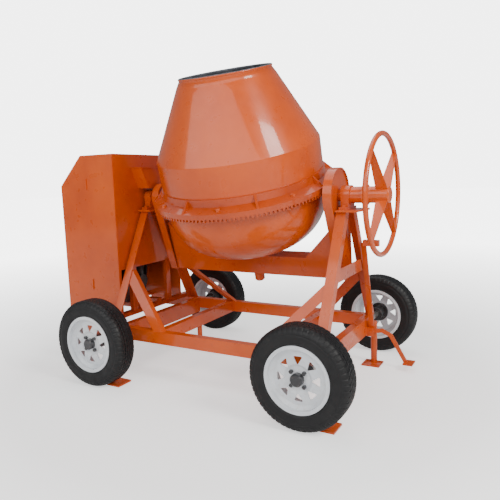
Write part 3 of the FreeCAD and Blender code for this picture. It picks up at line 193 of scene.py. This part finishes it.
ORANGE = ((0.52, 0.062, 0.0015), (0.63, 0.082, 0.002), (0.70, 0.102, 0.003))
MATERIALS = {
    "orange_paint": enamel("orange_enamel", ORANGE, (0.30, 0.10, 0.04)),
    "cast_gear": enamel("orange_cast", ((0.38, 0.042, 0.0015), (0.52, 0.062, 0.002), (0.62, 0.082, 0.003)),
                        (0.20, 0.08, 0.04), cast=True),
    "worn_steel": metal("worn_steel", ((0.045, 0.05, 0.06), (0.11, 0.12, 0.14), (0.20, 0.21, 0.23)), (0.45, 0.75),
                        metallic=0.35, bump=0.4),
    "shaft_steel": metal("shaft_steel", ((0.36, 0.35, 0.33), (0.5, 0.49, 0.47), (0.62, 0.61, 0.6)), (0.2, 0.4),
                         (1, 1, 8)),
    "engine_iron": enamel("engine_grey", ((0.03, 0.035, 0.035), (0.05, 0.055, 0.052), (0.075, 0.08, 0.075)),
                          (0.14, 0.11, 0.08), cast=True),
    "pulley_iron": metal("pulley_iron", ((0.05, 0.05, 0.05), (0.1, 0.1, 0.1), (0.2, 0.19, 0.18)), (0.35, 0.6),
                         metallic=0.7, bump=0.3),
    "belt_rubber": rubber("belt_rubber", ((0.012, 0.012, 0.012), (0.02, 0.02, 0.02), (0.045, 0.043, 0.04)), 340),
    "tyre_rubber": rubber("tyre_rubber", ((0.004, 0.004, 0.005), (0.007, 0.007, 0.008), (0.016, 0.015, 0.014))),
    "white_rim": enamel("white_enamel", ((0.62, 0.66, 0.71), (0.72, 0.75, 0.79), (0.80, 0.82, 0.84)),
                        (0.42, 0.36, 0.30)),
    "dark_hub": enamel("dark_enamel", ((0.012, 0.013, 0.015), (0.025, 0.026, 0.03), (0.05, 0.05, 0.055)),
                       (0.16, 0.13, 0.10), cast=True),
}
SLOTS = {entry["node"]: entry["material_slot"] for entry in frame["record"]["subparts"]}


# ---------------------------------------------------------------- mesh helpers
def mesh_object(name, points, faces, materials, face_material=None, smooth=True):
    """A mesh object whose faces name their material by index."""
    mesh = bpy.data.meshes.new(name)
    mesh.from_pydata(points, [], faces)
    for material in materials:
        mesh.materials.append(material)
    for index, face in enumerate(mesh.polygons):
        face.use_smooth = smooth
        if face_material is not None:
            face.material_index = face_material[index]
    mesh.update()
    made = bpy.data.objects.new(name, mesh)
    bpy.context.scene.collection.objects.link(made)
    return made


def ring_faces(count, steps):
    """The quads of a closed section of count points carried once round in steps."""
    faces = []
    for k in range(steps):
        after = (k + 1) % steps
        for i in range(count):
            j = (i + 1) % count
            faces.append((k * count + i, after * count + i, after * count + j, k * count + j))
    return faces


def revolved(name, rings, steps, spot, materials, ring_material=None):
    """A closed section turned about an axis. spot(radius, along, angle) gives the point."""
    count = len(rings)
    points = [spot(r, h, TURN * k / steps) for k in range(steps) for r, h in rings]
    faces = ring_faces(count, steps)
    kinds = [0 if ring_material is None else ring_material[i] for _ in range(steps) for i in range(count)]
    return mesh_object(name, points, faces, materials, kinds)


def in_drum(radius, along, angle):
    side = DRUM_X * math.cos(angle) + DRUM_Y * math.sin(angle)
    return DRUM_POINT + side * radius + DRUM_AXIS * along


def settle(piece, body, slot, *nodes):
    """Puts a finished piece on its body and in place of its CAD nodes; the slot argument is not used."""
    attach(piece, body)
    if nodes:
        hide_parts(*nodes)


# ---------------------------------------------------------------- tyres
def tyre_section():
    """(radius, offset, zone) round the tyre: bead, bulging wall, shoulder, ribbed tread and back, then inside."""
    wall = [(0.1792, 0.0655, "plain"), (0.184, 0.0705, "plain"), (0.188, 0.0716, "plain"), (0.190, 0.0706, "plain"),
            (0.194, 0.0708, "plain"), (0.205, 0.0731, "plain"), (0.218, 0.0739, "plain"), (0.230, 0.0739, "plain"),
            (0.2315, 0.0729, "plain"), (0.2335, 0.0729, "plain"), (0.235, 0.0737, "plain"),
            (0.243, 0.0728, "plain"), (0.250, 0.0707, "lug"), (0.2565, 0.0675, "lug"), (0.262, 0.0635, "lug"),
            (0.2665, 0.0590, "lug"), (0.2700, 0.0540, "lug"), (0.2722, 0.0490, "lug"), (0.2732, 0.0445, "lug")]
    tread = []
    for low, high in ((0.0425, 0.0270), (0.0230, 0.0085)):
        radius = 0.2749 - 0.35 * high * high - 0.5 * (low - 0.0085) ** 2
        tread += [(0.2668, low + 0.0006, "groove"), (radius - 0.0006, low, "block"), (radius, low - 0.0012, "block"),
                  (radius + 0.0001, (low + high) / 2, "block"), (radius, high + 0.0012, "block"),
                  (radius - 0.0006, high, "block"), (0.2668, high - 0.0006, "groove")]
    centre = [(0.2668, 0.0048, "groove"), (0.2742, 0.0042, "plain"), (0.2748, 0.0030, "plain"), (0.2748, 0.0, "plain")]
    half = wall + tread + centre
    back = [(r, -y, zone) for r, y, zone in reversed(half[:-1])]
    inside = [(0.1815, -0.0560, "plain"), (0.225, -0.0600, "plain"), (0.258, -0.0400, "plain"),
              (0.258, 0.0400, "plain"), (0.225, 0.0600, "plain"), (0.1815, 0.0560, "plain")]
    return half + back + inside


def tyre_piece(name, centre):
    """Pneumatic tyre: ribbed tread with staggered sipes, shoulder lugs and raised wall rings."""
    section = tyre_section()
    steps = 504
    pitch = 9
    points = []
    for k in range(steps):
        angle = TURN * k / steps
        for radius, offset, zone in section:
            stagger = 0 if offset > 0 else pitch // 2
            phase = (k + stagger) % pitch
            if zone == "lug" and phase < 2:
                radius -= 0.0028
                offset -= math.copysign(0.0008, offset)
            elif zone == "block" and (phase + int(abs(offset) * 200)) % pitch < 1:
                radius -= 0.0045
            points.append(centre + Vector((radius * math.cos(angle), offset, radius * math.sin(angle))))
    count = len(section)
    faces = [tuple(reversed(face)) for face in ring_faces(count, steps)]
    made = mesh_object(name, points, faces, [MATERIALS["tyre_rubber"]])
    sharp = made.modifiers.new("sharp tread", "EDGE_SPLIT")
    sharp.split_angle = math.radians(38)
    return made


def make_tyres():
    for corner in WHEELS:
        low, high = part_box(f"{corner}_tyre")
        centre = (Vector(low) + Vector(high)) / 2
        settle(tyre_piece(f"{corner}_tyre_tread", centre), f"{corner}_wheel", "tyre_rubber", f"{corner}_tyre")


# ---------------------------------------------------------------- drum
def make_cone_piece():
    """Cylinder, cone and rolled mouth: enamel outside, cement-stained steel inside."""
    joint, start, top = 0.090, 0.327, 0.783
    wide, sheet = 0.520, 0.006
    mouth = mouth_radius()
    outside = [(wide, joint), (wide, 0.16), (wide, 0.24)]
    bend = 0.004
    lean = (wide - mouth) / (top - start)
    for k in range(7):
        share = k / 6
        along = start - bend + 2 * bend * share
        outside.append((wide - lean * bend * share * share, along))
    for k in range(1, 12):
        along = start + bend + (top - 0.008 - start - bend) * k / 12
        outside.append((wide - lean * (along - start), along))
    bead = []
    for k in range(15):
        angle = math.radians(-60 + 250 * k / 14)
        bead.append((mouth - 0.004 + 0.008 * math.cos(angle), top + 0.008 * math.sin(angle)))
    inside = [(mouth - 0.0085, top - 0.012)]
    for k in range(11, -1, -1):
        along = start + (top - 0.02 - start) * k / 12
        inside.append((wide - sheet * 1.1 - lean * (along - start), along))
    inside += [(wide - sheet, 0.24), (wide - sheet, joint)]
    rings = outside + bead + inside
    kinds = [0] * (len(outside) + 5) + [1] * (len(rings) - len(outside) - 5)
    made = revolved("drum_cone_shell", rings, 256, in_drum, [MATERIALS["orange_paint"], MATERIALS["worn_steel"]], kinds)
    settle(made, "drum", "orange_paint", "drum_cone")


def mouth_radius():
    """The mouth's radius, read from the sheet's own box: its top is the bead's crest over the far side."""
    low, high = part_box("drum_cone")
    return (high[2] - DRUM_POINT.z - 0.783 * math.cos(LEAN) - 0.008) / math.sin(LEAN) + 0.004


# ---------------------------------------------------------------- CAD nodes that stay
def dress_nodes():
    for name, made in frame["nodes"].items():
        material = MATERIALS[SLOTS[name]]
        for slot in made.material_slots:
            slot.material = material


# ---------------------------------------------------------------- floor, light and camera
def make_floor():
    """A plain pale floor that runs out into the white of the studio."""
    mesh = bpy.data.meshes.new("floor")
    mesh.from_pydata([(-40, -40, -0.001), (40, -40, -0.001), (40, 40, -0.001), (-40, 40, -0.001)], [], [(0, 1, 2, 3)])
    made = bpy.data.objects.new("floor", mesh)
    bpy.context.scene.collection.objects.link(made)
    s = Shader("floor_white")
    color = s.ramp(s.noise(0.8, 2), [(0.3, (0.86, 0.86, 0.86)), (0.7, (0.88, 0.88, 0.88))])
    reach = s.add("ShaderNodeVectorMath", operation="LENGTH")
    s.link(s.space, reach.inputs[0])
    glow = s.span(reach.outputs["Value"], 0.8, 5.0, 1.5, 7.0)
    seen = s.add("ShaderNodeLightPath").outputs["Is Camera Ray"]
    s.link(s.times(glow, seen), s.surface.inputs["Emission Strength"])
    s.put(Specular_IOR_Level=0.2, Emission_Color=(1, 1, 1, 1))
    made.data.materials.append(s.finish(color, s.span(s.noise(3, 2), 0.8, 0.9), s.bump(s.noise(60, 2), 0.02, 0.0005)))


def make_light(name, place, target, size, power, tint=(1, 1, 1)):
    light = bpy.data.lights.new(name, "AREA")
    light.shape = "RECTANGLE"
    light.size, light.size_y = size
    light.energy = power
    light.color = tint
    made = bpy.data.objects.new(name, light)
    made.location = place
    made.rotation_euler = (Vector(target) - Vector(place)).to_track_quat("-Z", "Y").to_euler()
    bpy.context.scene.collection.objects.link(made)


def make_world():
    """A soft even studio, seen as white behind the machine."""
    world = bpy.data.worlds.new("studio")
    bpy.context.scene.world = world
    world.use_nodes = True
    tree = world.node_tree
    tree.nodes.clear()
    lit = tree.nodes.new("ShaderNodeBackground")
    lit.inputs["Color"].default_value = (0.92, 0.96, 1, 1)
    lit.inputs["Strength"].default_value = 0.3
    seen = tree.nodes.new("ShaderNodeBackground")
    seen.inputs["Color"].default_value = (1, 1, 1, 1)
    seen.inputs["Strength"].default_value = 5
    path = tree.nodes.new("ShaderNodeLightPath")
    pick = tree.nodes.new("ShaderNodeMixShader")
    output = tree.nodes.new("ShaderNodeOutputWorld")
    tree.links.new(path.outputs["Is Camera Ray"], pick.inputs[0])
    tree.links.new(lit.outputs[0], pick.inputs[1])
    tree.links.new(seen.outputs[0], pick.inputs[2])
    tree.links.new(pick.outputs[0], output.inputs["Surface"])


def make_camera():
    """The camera stands off the handwheel end's front corner, at head height."""
    place = Vector((1.763, -3.035, 1.273))
    yaw, pitch, roll, focal = 0.5150, -0.1351, -0.0320, 529.8
    ahead = Vector((-math.sin(yaw) * math.cos(pitch), math.cos(yaw) * math.cos(pitch), math.sin(pitch)))
    level = Vector((math.cos(yaw), math.sin(yaw), 0))
    upright = level.cross(ahead)
    right = level * math.cos(roll) + upright * math.sin(roll)
    above = upright * math.cos(roll) - level * math.sin(roll)
    camera = bpy.data.cameras.new("camera")
    camera.sensor_width = 36
    camera.lens = focal / 500 * 36
    camera.clip_end = 100
    made = bpy.data.objects.new("camera", camera)
    turn = Matrix((right, above, -ahead)).transposed().to_4x4()
    made.matrix_world = Matrix.Translation(place) @ turn
    bpy.context.scene.collection.objects.link(made)
    bpy.context.scene.camera = made


dress_nodes()
make_tyres()
make_cone_piece()
make_floor()
make_world()
make_light("front_softbox", (0.5, -7.5, 4.7), (0, 0, 1.4), (19, 5), 720, (1, 0.98, 0.96))
make_light("key", (5.5, -1.5, 4.4), (0, 0, 0.9), (2, 2), 260, (1, 0.97, 0.92))
make_light("top", (-1.0, 1.0, 6.0), (0, 0, 0.8), (5, 5), 150)
make_camera()
